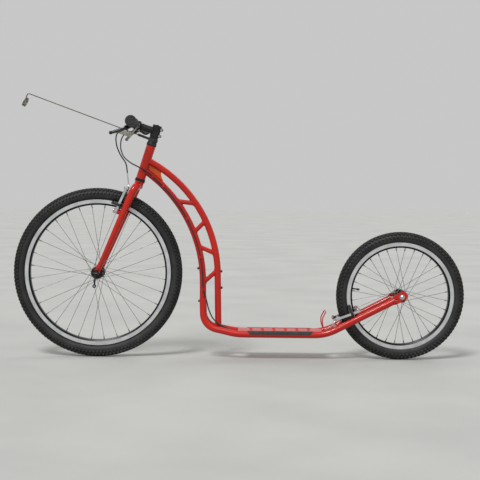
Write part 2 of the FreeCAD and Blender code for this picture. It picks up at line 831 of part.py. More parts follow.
# ---------------------------------------------------------------- fork
def blade_points():
    """The right fork blade's route: out of the crown, round its shoulder and down to the dropout."""
    start = steer(-30.0, 0, 16.0)
    rise = (start.z - front_axle.z) / blade_up.z
    shoulder = front_axle + blade_up * rise
    end = front_axle + blade_up * 20.0
    return [start, Vec(shoulder.x, 46.0, start.z), Vec(end.x, 53.5, end.z)]


def blade_bar():
    """The right blade as a full bar: a bent shoulder, then a long taper."""
    start, corner, end = blade_points()
    arc = corner_arc(start, corner, end, blade_shoulder_r)
    tangent_point = arc[2]
    shoulder_wire = Part.Wire([Part.LineSegment(start, arc[0]).toShape(), Part.Arc(*arc).toShape()])
    circle = Part.Wire(Part.makeCircle(blade_top_r, start, corner - start))
    shoulder = shoulder_wire.makePipeShell([circle], True, False)
    length = (end - tangent_point).Length
    taper = Part.makeCone(blade_top_r, blade_end_r, length, tangent_point, end - tangent_point)
    return shoulder.fuse(taper).removeSplitter()


def fork_blades():
    """Both blades, bored hollow over their long straight taper."""
    start, corner, end = blade_points()
    tangent_point = corner_arc(start, corner, end, blade_shoulder_r)[2]
    way = (end - tangent_point).normalize()
    length = (end - tangent_point).Length
    hollow = Part.makeCone(blade_top_r - tube_wall, blade_end_r - tube_wall, length - 20,
                           tangent_point + way * 2, way)
    return pair(blade_bar().cut(hollow).cut(front_dropout_blank()))


def front_dropout_blank():
    """The right front dropout's plate before it is drilled."""
    low = front_old / 2
    corners = [front_axle + blade_up * along + blade_front * across for along, across in (
        (46, -9), (20, -10), (4, -13), (-10, -9), (-14, 2), (-9, 11), (6, 13), (20, 10), (46, 9))]
    return plate(corners, low, low + dropout_thickness)


def fork_dropouts():
    plate_solid = front_dropout_blank()
    across = lateral * front_old
    return pair(plate_solid.cut(rod(front_axle, front_axle + across, front_axle_r + 0.2)))


def steerer():
    top = stem_top_height() - 3
    return ring(steer(-34), steer(top), steerer_r, steerer_r - 1.8)


def fork_crown():
    """The crown that joins the steerer and both blades, with the lower bearing's seat."""
    seat = steer(-lower_cup_height)
    collar = rod(seat, steer(-36), 17.5)
    race = rod(steer(-lower_cup_height + 2.6), seat, 19.5)
    bar = rod(steer(-30, 0, -16), steer(-30, 0, 16), blade_top_r)
    crown = fused([collar, race, bar])
    crown = crown.cut(rod(steer(-34), steer(0), steerer_r))
    return crown.cut(blade_bar()).cut(mirrored(blade_bar()))


def stem_base_height():
    return head_tube_length + cone_height + guide_clamp_height + spacer_height


def stem_top_height():
    return stem_base_height() + stem_height


def headset_spacers():
    """The headset's conical top cover and the spacer under the stem."""
    base = steer(head_tube_length + 6.4)
    cone_length = cone_height - 6.4 - 0.1
    cone = Part.makeCone(20.0, spacer_r, cone_length, base, steer_axis)
    cone = cone.cut(rod(base - steer_axis, base + steer_axis * 30, steerer_r + running_gap))
    start = head_tube_length + cone_height + guide_clamp_height
    spacer = ring(steer(start), steer(start + spacer_height - 0.1), spacer_r, steerer_r + running_gap)
    return Part.makeCompound([cone, spacer])


# ---------------------------------------------------------------- stem and bar
bar_centre = steer(stem_base_height() + stem_height / 2, stem_length)


def stem():
    """Threadless stem: steerer clamp with rear pinch lugs, barrel, and the bar clamp's back half."""
    low = stem_base_height()
    high = stem_top_height()
    middle = (low + high) / 2
    clamp = rod(steer(low), steer(high), stem_clamp_r)
    barrel = rod(steer(middle), steer(middle, stem_length - 8), stem_barrel_r)
    half_width = bar_clamp_width / 2
    holder = rod(bar_centre - lateral * half_width, bar_centre + lateral * half_width,
                 bar_centre_r + 5)
    front = placed(Part.makeBox(60, 80, 60, Vec(-0.8, -40, -30)), bar_centre, steer_front, lateral)
    holder = holder.cut(front)
    solids = [clamp, barrel, holder]
    for height in pinch_heights():
        lug = rod(steer(height, -pinch_offset, -9), steer(height, -pinch_offset, 9), 6.0)
        web = placed(Part.makeBox(pinch_offset, 18, 12, Vec(0, -9, -6)), steer(height, -pinch_offset),
                     steer_front, lateral)
        solids += [lug, web]
    solid = fused(solids + stem_lugs("back"))
    solid = solid.cut(rod(steer(low - 1), steer(high + 1), steerer_r + running_gap))
    solid = solid.cut(rod(bar_centre - lateral * 40, bar_centre + lateral * 40, bar_centre_r + 0.05))
    slit = placed(Part.makeBox(30, 2, stem_height + 4, Vec(-30, -1, -stem_height / 2 - 2)),
                  steer(middle, -10), steer_front, lateral)
    solid = solid.cut(slit)
    for height in pinch_heights():
        solid = solid.cut(rod(steer(height, -pinch_offset, -20), steer(height, -pinch_offset, 20), 2.6))
    for bolt in face_bolt_axes():
        solid = solid.cut(rod(bolt[0], bolt[1], 2.6))
    return max(solid.Solids, key=lambda s: s.Volume)


def pinch_heights():
    return stem_base_height() + 7.5, stem_top_height() - 8.0


def face_bolt_axes():
    """The faceplate's four bolts: each from its head's seat back into the stem."""
    axes = []
    for y in (-13.5, 13.5):
        for rise in (-15.3, 15.3):
            seat = bar_centre + steer_axis * rise + lateral * y + steer_front * 9
            axes.append((seat, seat - steer_front * 19))
    return axes


def stem_lugs(solid_side):
    """Ears above and below the bar that the faceplate's bolts go through."""
    ears = []
    for rise in (-15.3, 15.3):
        start, end = (0.4, 9.0) if solid_side == "front" else (-10.0, -0.8)
        ear = placed(Part.makeBox(end - start, 36, 7, Vec(start, -18, rise - 3.5)), bar_centre,
                     steer_front, lateral)
        ears.append(ear)
    return ears


def stem_faceplate():
    half_width = bar_clamp_width / 2
    cover = rod(bar_centre - lateral * half_width, bar_centre + lateral * half_width, bar_centre_r + 5)
    back = placed(Part.makeBox(60, 80, 60, Vec(-59.6, -40, -30)), bar_centre, steer_front, lateral)
    solid = fused([cover] + stem_lugs("front")).cut(back)
    solid = solid.cut(rod(bar_centre - lateral * 40, bar_centre + lateral * 40, bar_centre_r + 0.05))
    for seat, inner in face_bolt_axes():
        solid = solid.cut(rod(seat + steer_front, inner, 2.6))
        solid = solid.cut(rod(seat, seat + steer_front * 12, 4.4))
    return max(solid.Solids, key=lambda s: s.Volume)


def stem_bolts():
    """Pinch bolts across the stem's back and the four bolts of its faceplate."""
    bolts = []
    for height in pinch_heights():
        head_end = steer(height, -pinch_offset, -13.5)
        seat = steer(height, -pinch_offset, -9)
        tip = steer(height, -pinch_offset, 9)
        bolt = fused([rod(head_end, seat, 4.4), rod(seat, tip, 2.5)])
        bolts.append(bolt.cut(rod(head_end, head_end + lateral * 3, 2.0)))
    for seat, inner in face_bolt_axes():
        bolt = fused([rod(seat, seat + steer_front * 4, 4.2), rod(seat, inner, 2.5)])
        bolts.append(bolt.cut(rod(seat + steer_front * 1.2, seat + steer_front * 4, 2.0)))
    return Part.makeCompound(bolts)


def top_cap():
    base = steer(stem_top_height() + 0.1)
    cap = rod(base, base + steer_axis * 4, stem_clamp_r - 0.5)
    plug = rod(base - steer_axis * 3, base, steerer_r - 2.2)
    screw = rod(base + steer_axis * 4, base + steer_axis * 6.5, 5.0)
    socket = rod(base + steer_axis * 3.5, base + steer_axis * 6.5, 2.5)
    return fused([cap, plug, screw]).cut(socket)


def bar_point(y):
    """The handlebar's centre line at a distance to the right of the middle."""
    outer = max(abs(y) - bar_bend_y, 0)
    back = bar_sweep * outer / (bar_width / 2 - bar_bend_y)
    return bar_centre + Vec(back, y, 0)


def handlebar():
    end = bar_width / 2 - 2
    points = [bar_point(-end), bar_point(-bar_bend_y), bar_point(bar_bend_y), bar_point(end)]
    bends = [400.0, 400.0]
    bar = bent_rod(points, bar_r, bends)
    centre = rod(bar_centre - lateral * 30, bar_centre + lateral * 30, bar_centre_r)
    swell = [Part.makeCone(bar_centre_r, bar_r, 8, bar_centre + lateral * 30 * s, lateral * s)
             for s in (-1, 1)]
    bore = bent_rod([bar_point(-end - 1)] + points[1:3] + [bar_point(end + 1)], bar_r - 2, bends)
    return fused([bar, centre] + swell).cut(bore)


def grip():
    """The right rubber grip, closed at its outer end and flanged at both ends."""
    outer = bar_point(bar_width / 2)
    inner = bar_point(bar_width / 2 - grip_length)
    way = (outer - inner).normalize()
    body = rod(inner, outer, grip_r)
    end_flange = rod(outer - way * 6, outer, grip_flange_r)
    inner_flange = rod(inner, inner + way * 4, grip_flange_r - 1.5)
    solid = fused([body, end_flange, inner_flange])
    return solid.cut(rod(inner - way, outer - way * 1.9, bar_r + 0.02))


# ---------------------------------------------------------------- brake levers
def lever_axes(side):
    """A lever clamp's middle on the bar, the way the lever reaches, the bar's way and the pivot's way."""
    origin = bar_point(side * lever_clamp_y)
    bar_way = (bar_point(side * 290) - bar_point(side * 140)).normalize()
    drop = math.radians(lever_drop_angle)
    reach = Vec(-math.cos(drop), 0, -math.sin(drop))
    normal = reach.cross(bar_way).normalize()
    reach = bar_way.cross(normal).normalize()
    return origin, reach, bar_way, normal


def lever_bracket():
    """The right lever's clamp and body, drawn with x along the reach and y outward."""
    half = lever_half_thickness
    ear = 4.5
    clamp = Part.makeCylinder(lever_clamp_r, lever_clamp_width, Vec(0, -lever_clamp_width / 2, 0),
                              Vec(0, 1, 0))
    body = Part.makeBox(26, 26, 2 * (half + ear), Vec(10, -19, -half - ear))
    body = body.makeFillet(2.5, body.Edges)
    pivot = Part.makeCylinder(8.5, 2 * (half + ear), Vec(lever_pivot_reach, -6, -half - ear))
    barrel = Part.makeCylinder(5.0, 12, Vec(barrel_reach, -18, 0), Vec(0, -1, 0))
    tip = Part.makeCylinder(3.9, 2, Vec(barrel_reach, 2 - barrel_length, 0), Vec(0, -1, 0))
    solid = fused([clamp, body, pivot, barrel, tip])
    slot = Part.makeBox(60, 60, 2 * (half + 0.3), Vec(18, -14.6, -half - 0.3))
    solid = solid.cut(slot)
    solid = solid.cut(Part.makeCylinder(bar_r + 0.05, 60, Vec(0, -30, 0), Vec(0, 1, 0)))
    pin = Part.makeCylinder(lever_pin_r, 2 * (half + ear), Vec(lever_pivot_reach, -6, -half - ear))
    bolt = Part.makeCylinder(2.5, 12, Vec(-14.2, 0, -6), Vec(0, 0, 1))
    return fused([solid, pin, bolt])


def lever_blade():
    """The right lever's blade in the same axes: a flat curved bar with a ball at its end."""
    half = lever_half_thickness
    reach = lever_pivot_reach
    tip = Vec(lever_tip_reach, lever_tip_out, 0)
    outline = [Vec(reach - 7, -6, 0), Vec(reach + 3, -13, 0), Vec(reach + 12, -9, 0),
               Vec(reach + 26, 14, 0), Vec(reach + 37, 34, 0), Vec(reach + 44, 62, 0),
               Vec(tip.x + 3.2, tip.y, 0), Vec(tip.x - 3.2, tip.y + 1, 0),
               Vec(reach + 34.5, 64, 0), Vec(reach + 27, 38, 0), Vec(reach + 16, 19, 0),
               Vec(reach + 4, 3, 0), Vec(reach - 5, -1, 0)]
    face = Part.Face(Part.makePolygon(outline + outline[:1]))
    blade = face.extrude(Vec(0, 0, 2 * half)).translated(Vec(0, 0, -half))
    ball = Part.makeSphere(6.2, tip)
    root = Part.makeCylinder(7.5, 2 * half, Vec(reach, -6, -half))
    solid = fused([blade, ball, root])
    return solid.cut(Part.makeCylinder(lever_pin_r + running_gap, 20, Vec(reach, -6, -10)))


def on_bar(shape, side):
    """Puts a right-hand lever piece on the bar, or its mirror image on the left."""
    origin, reach, bar_way, normal = lever_axes(1)
    right = placed(shape, origin, reach, bar_way)
    return right if side > 0 else mirrored(right)


# ---------------------------------------------------------------- line guide and bell
guide_way = Vec(-math.cos(math.radians(guide_angle)), 0, math.sin(math.radians(guide_angle)))
guide_root = steer(head_tube_length + cone_height + guide_clamp_height / 2)


def guide_clamp():
    """Split ring on the steerer with the socket that grips the guide wire."""
    low = head_tube_length + cone_height
    hoop = rod(steer(low), steer(low + guide_clamp_height - 0.1), spacer_r + 2)
    start = guide_root + guide_way * (spacer_r + 1)
    end = guide_root + guide_way * (guide_sleeve_start + guide_sleeve_length)
    sleeve = rod(start, end, guide_sleeve_r)
    solid = fused([hoop, sleeve])
    solid = solid.cut(rod(steer(low - 1), steer(low + guide_clamp_height + 1), steerer_r + running_gap))
    return solid.cut(rod(guide_root + guide_way * (guide_sleeve_start + 4), end + guide_way,
                         guide_wire_r + 0.02))


def guide_wire():
    """Long spring-steel wire ending in a pigtail eye that the towing line runs through."""
    start = guide_root + guide_way * (guide_sleeve_start + 4)
    corner = guide_root + guide_way * guide_reach
    eye_way = Vec(-math.cos(math.radians(27.4)), 0, math.sin(math.radians(27.4)))
    down = Vec(-eye_way.z, 0, eye_way.x)
    top = corner + down * guide_drop
    eye_centre = top + down * guide_eye_r
    points = [start, corner, top - down]
    steps = 12
    for i in range(1, int(guide_eye_turns * steps) + 1):
        angle = 2 * math.pi * i / steps
        points.append(eye_centre - down * guide_eye_r * math.cos(angle)
                      + lateral * guide_eye_r * math.sin(angle)
                      - eye_way * (guide_eye_pitch * i / steps))
    bends = [7.0] + [widest_radius(points[i - 1], points[i], points[i + 1])
                     for i in range(2, len(points) - 1)]
    return bent_rod(points, guide_wire_r, bends)


def bell():
    """A small bar bell: a closed polished cylinder hung from a band round the bar."""
    band = ring(bar_point(bell_y - 5), bar_point(bell_y + 5), bar_r + 2.5, bar_r + 0.05)
    front = at(bell_front[0], bell_front[1], bell_y)
    rear = at(bell_rear[0], bell_rear[1], bell_y)
    way = (rear - front).normalize()
    cup = rod(front, rear, bell_r).cut(rod(front + way * 3, rear - way * 1.5, bell_r - 1.2))
    foot = rear + way * 1.2
    arm_top = bar_point(bell_y) + Vec(0, 0, -bar_r - 1.5)
    arm = rod(rear - way * 2, rear + way * 2.4, bell_r + 2)
    strut = rod(foot, arm_top, 2.6)
    pivot = bell_pivot()
    ears = [box(pivot + Vec(-2.5, y - 0.8, -bell_pivot_rise), pivot + Vec(2.5, y + 0.8, 2.5))
            for y in (-3.8, 3.8)]
    pin = rod(pivot - lateral * 4, pivot + lateral * 4, 1.0)
    solid = fused([cup, arm, strut, band, pin] + ears)
    solid = solid.cut(rod(front + way * 3, rear - way * 1.5, bell_r - 1.2))
    solid = solid.cut(rod(bar_point(bell_y - 9), bar_point(bell_y + 9), bar_r + 0.05))
    return max(solid.Solids, key=lambda s: s.Volume)


def bell_pivot():
    front = at(bell_front[0], bell_front[1], bell_y)
    rear = at(bell_rear[0], bell_rear[1], bell_y)
    return front + (rear - front) * 0.7 + Vec(0, 0, bell_pivot_rise)


def bell_striker():
    """The bell's thumb striker: a flat spring lever with a round hammer."""
    pivot = bell_pivot()
    front = at(bell_front[0], bell_front[1], bell_y)
    rear = at(bell_rear[0], bell_rear[1], bell_y)
    way = (front - rear).normalize()
    normal = lateral.cross(way).normalize()
    if normal.z < 0:
        normal = normal * -1
    root_r = 2.6
    leaf = placed(Part.makeBox(22, 4, 1.6, Vec(1.5, -2, -0.8)), pivot, way, lateral)
    root = rod(pivot - lateral * 2.5, pivot + lateral * 2.5, root_r)
    hammer = rod(pivot + way * 21.5 - normal * 3.5, pivot + way * 21.5 + normal * 1.5, 2.8)
    bore = rod(pivot - lateral * 5, pivot + lateral * 5, 1.0 + running_gap)
    return fused([leaf, hammer, root]).cut(bore)


# ---------------------------------------------------------------- wheels
def rim_profile(rim_r, inner_r):
    """Outline of a double-wall rim as (y, radius), and the outline of its hollow."""
    w = rim_half_width
    track_low = rim_r - rim_track
    outer = [(-w, rim_r), (-w + 1.5, rim_r), (-w + 1.5, rim_r - 9.5), (w - 1.5, rim_r - 9.5),
             (w - 1.5, rim_r), (w, rim_r), (w, track_low), (w - 4, inner_r), (4 - w, inner_r),
             (-w, track_low)]
    hollow = [(2 - w, rim_r - 11.5), (w - 2, rim_r - 11.5), (w - 2, track_low + 0.5),
              (w - 5, inner_r + 2.2), (5 - w, inner_r + 2.2), (2 - w, track_low + 0.5)]
    return outer, hollow


def rim(centre, rim_r, inner_r):
    outer, hollow = rim_profile(rim_r, inner_r)
    return turned(outer, centre).cut(turned(hollow, centre))


def tyre(centre, tyre_r, rim_r):
    """A tyre as a hollow ring, open towards the rim, with beads between the rim's flanges."""
    half = tyre_width / 2
    bed = rim_r - 9.2
    middle = tyre_r - half
    outer = []
    steps = 28
    flange_top = rim_r + 0.3
    bead = rim_half_width - 1.5 - 0.3
    start_angle = math.asin((flange_top - middle) / half)
    for i in range(steps + 1):
        angle = start_angle + (math.pi - 2 * start_angle) * i / steps
        outer.append((half * math.cos(angle), middle + half * math.sin(angle)))
    wall = 3.6
    inner_r = half - wall
    gap = bead - 4.2
    inner_start = -math.acos(gap / inner_r)
    inner = []
    for i in range(steps + 1):
        angle = inner_start + (math.pi - 2 * inner_start) * i / steps
        inner.append((inner_r * math.cos(angle), middle + inner_r * math.sin(angle) - 0.8))
    profile = outer + [(-bead, flange_top), (-bead, bed), (-gap, bed)]
    profile += list(reversed(inner)) + [(gap, bed), (bead, bed), (bead, flange_top)]
    return turned(profile, centre)


def spoke_set(centre, flange_y, inner_r):
    """Crossed spokes with their nipples, alternately laced outside and inside each flange."""
    spokes = []
    step = 2 * math.pi / spokes_per_side
    for side in (-1, 1):
        for i in range(spokes_per_side):
            rim_angle = i * step + (step / 2 if side > 0 else 0) + step / 4
            lead = 1 if i % 2 else -1
            hub_angle = rim_angle + lead * spoke_crosses * step
            face = flange_thickness / 2 + 0.1
            out = face + spoke_elbow if lead > 0 else -face - spoke_r
            hub_r = flange_r - 3
            a = centre + Vec(hub_r * math.cos(hub_angle), side * (flange_y + out),
                             hub_r * math.sin(hub_angle))
            elbow_foot = Vec(a.x, side * (flange_y + math.copysign(face, out)), a.z)
            rim_r = inner_r - 0.2
            b = centre + Vec(rim_r * math.cos(rim_angle), side * 2.0, rim_r * math.sin(rim_angle))
            way = (b - a).normalize()
            nipple = rod(b - way * nipple_length, b - way * 0.3, nipple_r)
            elbow = rod(a, elbow_foot, spoke_r).fuse(Part.makeSphere(spoke_r + 0.05, a))
            spoke = rod(a, b - way * 0.3, spoke_r).fuse(elbow).fuse(nipple)
            spokes.append(spoke.removeSplitter())
    return Part.makeCompound(spokes)


def hub(centre, old, axle_r, flange_y):
    """Hub shell turned with two flanges, and its two bearings as own solids."""
    shell_end = old / 2 - 6.4
    f = flange_thickness / 2
    half = [(0, hub_barrel_r), (flange_y - f - 3, hub_barrel_r), (flange_y - f, hub_barrel_r + 3),
            (flange_y - f, flange_r), (flange_y + f, flange_r), (flange_y + f, hub_barrel_r + 2),
            (shell_end, hub_barrel_r)]
    bore = 11.0
    outline = half + [(shell_end, bore), (-shell_end, bore)]
    outline += [(-y, r) for y, r in reversed(half[1:])]
    shell = turned(outline, centre)
    pieces = [shell]
    for side in (-1, 1):
        low = centre + lateral * side * (shell_end - 9)
        high = centre + lateral * side * (shell_end - 0.5)
        pieces.append(ring(low, high, bore - 0.02, axle_r + running_gap))
    return Part.makeCompound(pieces)


def front_axle_set():
    """Hollow front axle with its cone locknuts."""
    inner = front_old / 2
    end = inner + dropout_thickness - 0.5
    axle = rod(front_axle - lateral * end, front_axle + lateral * end, front_axle_r)
    bore = rod(front_axle - lateral * 80, front_axle + lateral * 80, 2.8)
    locks = [rod(front_axle + lateral * side * (inner - 6), front_axle + lateral * side * inner, 9.0)
             for side in (-1, 1)]
    return fused([axle] + locks).cut(bore)


def front_skewer():
    """Quick-release skewer: rod, right-hand nut and the round cam head on the left."""
    outer = front_old / 2 + dropout_thickness
    shaft = rod(front_axle - lateral * (outer + 4), front_axle + lateral * (outer + 12), 2.5)
    nut = rod(front_axle + lateral * (outer + 0.1), front_axle + lateral * (outer + 13), 9.5)
    knob = Part.makeCone(9.5, 6.0, 4, front_axle + lateral * (outer + 13), lateral)
    cam = rod(front_axle - lateral * (outer + 0.1), front_axle - lateral * (outer + cam_height), cam_r)
    pieces = [shaft, nut, knob, cam]
    pivot = release_pivot()
    for x in (-12.0, 8.3):
        ear = box(pivot + Vec(x, -4.5, -5), pivot + Vec(x + 3.7, cam_gap + 1.5, 5))
        pieces.append(ear)
    pieces.append(rod(pivot - Vec(12, 0, 0), pivot + Vec(12, 0, 0), 2.0))
    return fused(pieces)


def release_pivot():
    outer = front_old / 2 + dropout_thickness
    return front_axle - lateral * (outer + cam_height + cam_gap)


def quick_release_lever():
    """The quick-release's lever, closed: it hangs from its pin and ends in a small ring."""
    pivot = release_pivot()
    barrel = rod(pivot - Vec(8, 0, 0), pivot + Vec(8, 0, 0), 5.0)
    end = pivot + Vec(-5, 0.5, -48)
    middle = pivot + Vec(-2, -4.5, -22)
    arm = bent_rod([pivot + Vec(0, -1, -2), middle, end], 3.4, [60.0])
    loop = rod(end - lateral * 2.4, end + lateral * 2.4, 7.2)
    hole = rod(end - lateral * 5, end + lateral * 5, 3.0)
    solid = fused([barrel, arm, loop]).cut(hole)
    return solid.cut(rod(pivot - Vec(20, 0, 0), pivot + Vec(20, 0, 0), 2.0 + running_gap))


# ---------------------------------------------------------------- write every piece
nodes = {
    "head_tube": head_tube,
    "down_tube": down_tube,
    "upper_tube": upper_tube,
    "truss_braces": truss_braces,
    "head_gusset": head_gusset,
    "deck_rails": lambda: pair(deck_rail()),
    "rear_dropouts": lambda: pair(rear_dropout()),
    "cross_tubes": cross_tubes,
    "deck_plate": deck_plate,
    "grip_strips": lambda: pair(grip_strip()),
    "cable_clips": cable_clips,
    "frame_bosses": frame_bosses,
    "heel_guard": heel_guard,
    "headset_cups": headset_cups,
    "rear_axle": rear_axle_set,
    "rear_brake_studs": rear_brake_studs,
    "rear_cable_housing": rear_cable_housing,
    "rear_cable_loop": rear_cable_loop,
    "steerer": steerer,
    "fork_crown": fork_crown,
    "fork_blades": fork_blades,
    "fork_dropouts": fork_dropouts,
    "front_brake_studs": front_brake_studs,
    "headset_spacers": headset_spacers,
    "guide_clamp": guide_clamp,
    "guide_wire": guide_wire,
    "stem": stem,
    "stem_faceplate": stem_faceplate,
    "stem_bolts": stem_bolts,
    "top_cap": top_cap,
    "handlebar": handlebar,
    "grips": lambda: pair(grip()),
    "lever_brackets": lambda: pair(on_bar(lever_bracket(), 1)),
    "brake_lever_left": lambda: on_bar(lever_blade(), -1),
    "brake_lever_right": lambda: on_bar(lever_blade(), 1),
    "bell": bell,
    "bell_striker": bell_striker,
    "front_axle": front_axle_set,
    "front_skewer": front_skewer,
    "quick_release_lever": quick_release_lever,
    "front_cable_housing": front_cable_housing,
    "front_noodle": lambda: noodle(True),
    "rear_noodle": lambda: noodle(False),
    "front_arm_left": lambda: brake_arm(True, -1, False),
    "front_arm_right": lambda: brake_arm(True, 1, True),
    "rear_arm_left": lambda: brake_arm(False, -1, True),
    "rear_arm_right": lambda: brake_arm(False, 1, False),
    "front_pad_left": lambda: brake_pad(True, -1),
    "front_pad_right": lambda: brake_pad(True, 1),
    "rear_pad_left": lambda: brake_pad(False, -1),
    "rear_pad_right": lambda: brake_pad(False, 1),
    "front_tyre": lambda: tyre(front_axle, front_tyre_r, front_rim_r),
    "front_rim": lambda: rim(front_axle, front_rim_r, front_rim_inner_r),
    "front_spokes": lambda: spoke_set(front_axle, front_flange_y, front_rim_inner_r),
    "front_hub": lambda: hub(front_axle, front_old, front_axle_r, front_flange_y),
    "rear_tyre": lambda: tyre(rear_axle, rear_tyre_r, rear_rim_r),
    "rear_rim": lambda: rim(rear_axle, rear_rim_r, rear_rim_inner_r),
    "rear_spokes": lambda: spoke_set(rear_axle, rear_flange_y, rear_rim_inner_r),
    "rear_hub": lambda: hub(rear_axle, rear_old, rear_axle_r, rear_flange_y),
}

os.makedirs("parts", exist_ok=True)
for name, make in nodes.items():
    shape = make()
    if not shape.isValid():
        print("not valid:", name)
    shape.exportStep("parts/" + name + ".step")
print(len(nodes), "nodes written")
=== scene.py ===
# %% [markdown]
# A big-wheel kick scooter, dressed step by step
#
# A kick scooter of this kind is a bicycle without a seat: two spoked wheels, a fork, a low deck and a
# frame of bent tubes. The exact model is ready and fixed, so every step below gives one of its pieces
# a finish, or puts a finer piece in its place. Lengths are in metres and +Z is up.

# %% Load the fixed model
import json
import math
import bpy
from mathutils import Matrix, Vector
from mathutils.bvhtree import BVHTree


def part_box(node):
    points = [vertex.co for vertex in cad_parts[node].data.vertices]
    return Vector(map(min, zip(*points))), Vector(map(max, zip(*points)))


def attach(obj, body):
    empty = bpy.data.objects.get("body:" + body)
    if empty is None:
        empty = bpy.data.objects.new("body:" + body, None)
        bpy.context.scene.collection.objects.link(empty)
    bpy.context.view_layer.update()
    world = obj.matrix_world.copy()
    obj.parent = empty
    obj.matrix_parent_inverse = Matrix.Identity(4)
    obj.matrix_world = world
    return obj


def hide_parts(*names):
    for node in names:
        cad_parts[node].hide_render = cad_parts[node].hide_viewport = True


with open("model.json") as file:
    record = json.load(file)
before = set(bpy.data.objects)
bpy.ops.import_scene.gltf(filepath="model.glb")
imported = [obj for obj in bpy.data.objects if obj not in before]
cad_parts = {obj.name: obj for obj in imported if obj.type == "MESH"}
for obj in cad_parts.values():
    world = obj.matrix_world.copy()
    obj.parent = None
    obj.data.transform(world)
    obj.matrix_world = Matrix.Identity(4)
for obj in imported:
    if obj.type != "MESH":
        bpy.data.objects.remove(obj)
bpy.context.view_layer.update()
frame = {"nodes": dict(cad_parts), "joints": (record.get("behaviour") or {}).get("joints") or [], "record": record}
joints = {j["name"]: j for j in frame["joints"]}
slot_of = {s["node"]: s["material_slot"] for s in frame["record"]["subparts"]}
scene = bpy.context.scene

# %% [markdown]
# The camera comes first, because every later choice is judged through it. The scooter is seen from its
# left side, from a little over four metres away, with a long lens and at about the height of its stem.
# The camera is turned by code, so no target object is needed.

# %% Camera
camera_place = Vector((0.020, -4.2, 0.657))
camera_target = Vector((0.003, 0.0, 0.462))
camera_roll = math.radians(0.57)
camera_data = bpy.data.cameras.new("side_camera")
camera_data.lens = 80.7
camera_data.sensor_width = 36.0
camera = bpy.data.objects.new("side_camera", camera_data)
scene.collection.objects.link(camera)
aim = (camera_target - camera_place).to_track_quat("-Z", "Y").to_matrix()
camera.matrix_world = Matrix.Translation(camera_place) @ (aim @ Matrix.Rotation(camera_roll, 3, "Z")).to_4x4()
scene.camera = camera
print("camera at", tuple(camera_place))

# %% [markdown]
# Every finish is the same small network of nodes with its own numbers. A broad noise drifts between
# two tones, because no real coat is one flat colour. A fine noise moves the roughness up and down and
# lifts a shallow grain. Gloss, metal and clear coat are plain numbers on the shader itself.

# %% A finish from two tones and a grain
def new_material(name):
    material = bpy.data.materials.new(name)
    material.use_nodes = True
    nodes = material.node_tree.nodes
    return material, nodes, material.node_tree.links, nodes["Principled BSDF"]


def noise(nodes, links, scale, detail=3.0):
    """A noise over the object's own coordinates."""
    place = nodes.new("ShaderNodeTexCoord")
    texture = nodes.new("ShaderNodeTexNoise")
    texture.inputs["Scale"].default_value = scale
    texture.inputs["Detail"].default_value = detail
    links.new(place.outputs["Object"], texture.inputs["Vector"])
    return texture.outputs["Fac"]


def ranged(nodes, links, value, low, high, start=0.35, end=0.65):
    node = nodes.new("ShaderNodeMapRange")
    for key, number in (("From Min", start), ("From Max", end), ("To Min", low), ("To Max", high)):
        node.inputs[key].default_value = number
    links.new(value, node.inputs["Value"])
    return node.outputs["Result"]


def two_tones(nodes, links, factor, first, second):
    mix = nodes.new("ShaderNodeMix")
    mix.data_type = "RGBA"
    mix.inputs["A"].default_value = (*first, 1.0)
    mix.inputs["B"].default_value = (*second, 1.0)
    links.new(factor, mix.inputs["Factor"])
    return mix.outputs["Result"]


def lift(nodes, links, height, depth, strength=1.0):
    bump = nodes.new("ShaderNodeBump")
    bump.inputs["Strength"].default_value = strength
    bump.inputs["Distance"].default_value = depth
    links.new(height, bump.inputs["Height"])
    return bump.outputs["Normal"]


def finish(name, tones, rough, grain, depth, metal=0.0, coat=0.0, patch=9.0, shine=0.5):
    material, nodes, links, shader = new_material(name)
    drift = ranged(nodes, links, noise(nodes, links, patch), 0.0, 1.0)
    fine = noise(nodes, links, grain, 4.0)
    links.new(two_tones(nodes, links, drift, *tones), shader.inputs["Base Color"])
    links.new(ranged(nodes, links, fine, *rough), shader.inputs["Roughness"])
    links.new(lift(nodes, links, fine, depth), shader.inputs["Normal"])
    shader.inputs["Metallic"].default_value = metal
    shader.inputs["Coat Weight"].default_value = coat
    shader.inputs["Specular IOR Level"].default_value = shine
    shader.inputs["Coat Roughness"].default_value = 0.04
    return material

# %% [markdown]
# The frame is stove-enamelled in a deep orange red under a clear coat. The grain is long and very
# shallow, like the slight orange peel of sprayed paint. The blacks differ more in gloss than in
# colour: anodised metal is satin, mouldings are duller and rubber is the dullest.

